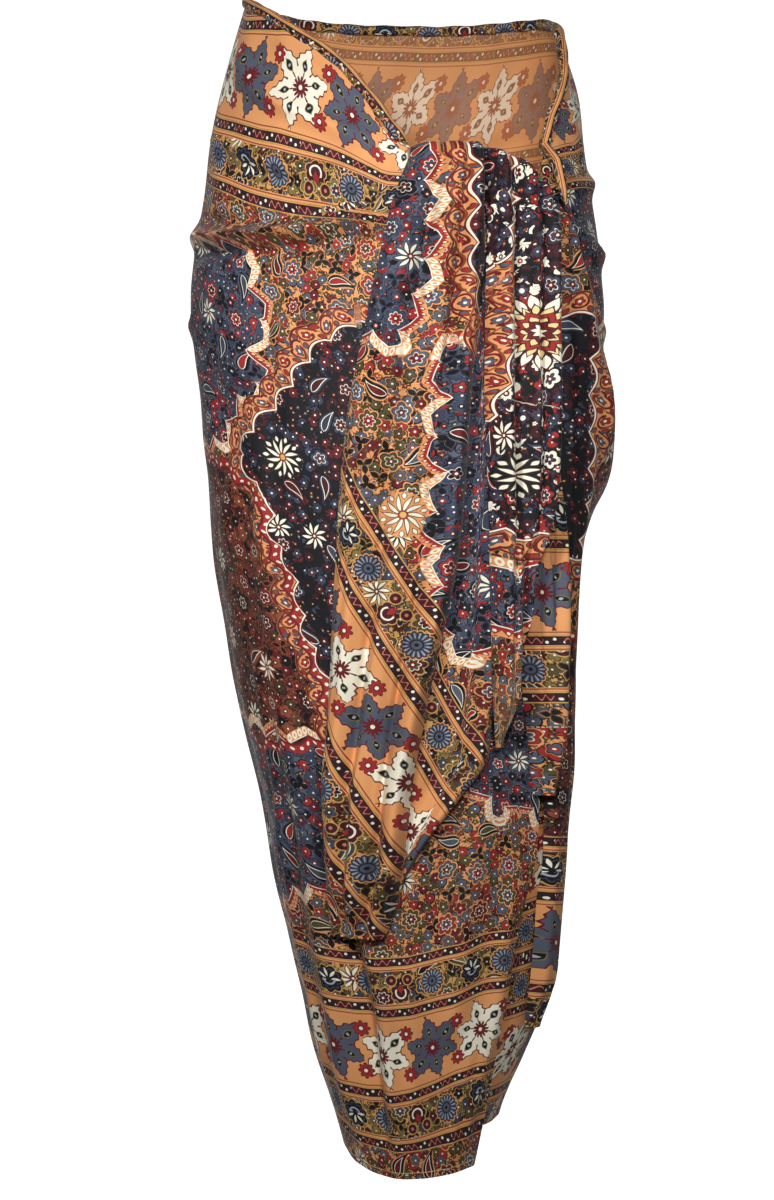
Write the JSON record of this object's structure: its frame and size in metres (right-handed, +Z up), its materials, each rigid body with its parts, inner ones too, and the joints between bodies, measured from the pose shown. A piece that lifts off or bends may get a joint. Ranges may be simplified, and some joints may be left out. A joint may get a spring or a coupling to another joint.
{
  "type": "sarong",
  "caption": "Printed cloth wound round the hips as a tapering open tube, gathered at the front, its ends folded over and falling as a pleated waterfall.",
  "frame": {"origin": "middle of the hips at the height of the front knot, inside the wound cloth", "axes": "+Z up, -Y towards the front where the knot and the falls are, +X to the viewer's right"},
  "size_m": [0.3705, 0.2778, 1.0301],
  "materials": {
    "printed_cloth": "light woven viscose with a soft sheen, printed all over in orange, red, maroon, blue-grey, navy and cream"
  },
  "bodies": {
    "root": {"skirt_wrap": "printed_cloth", "waist_roll": "printed_cloth", "knot": "printed_cloth", "fall_left": "printed_cloth", "fall_middle": "printed_cloth", "fall_centre": "printed_cloth", "fall_right": "printed_cloth", "side_fold": "printed_cloth"}
  },
  "joints": []
}
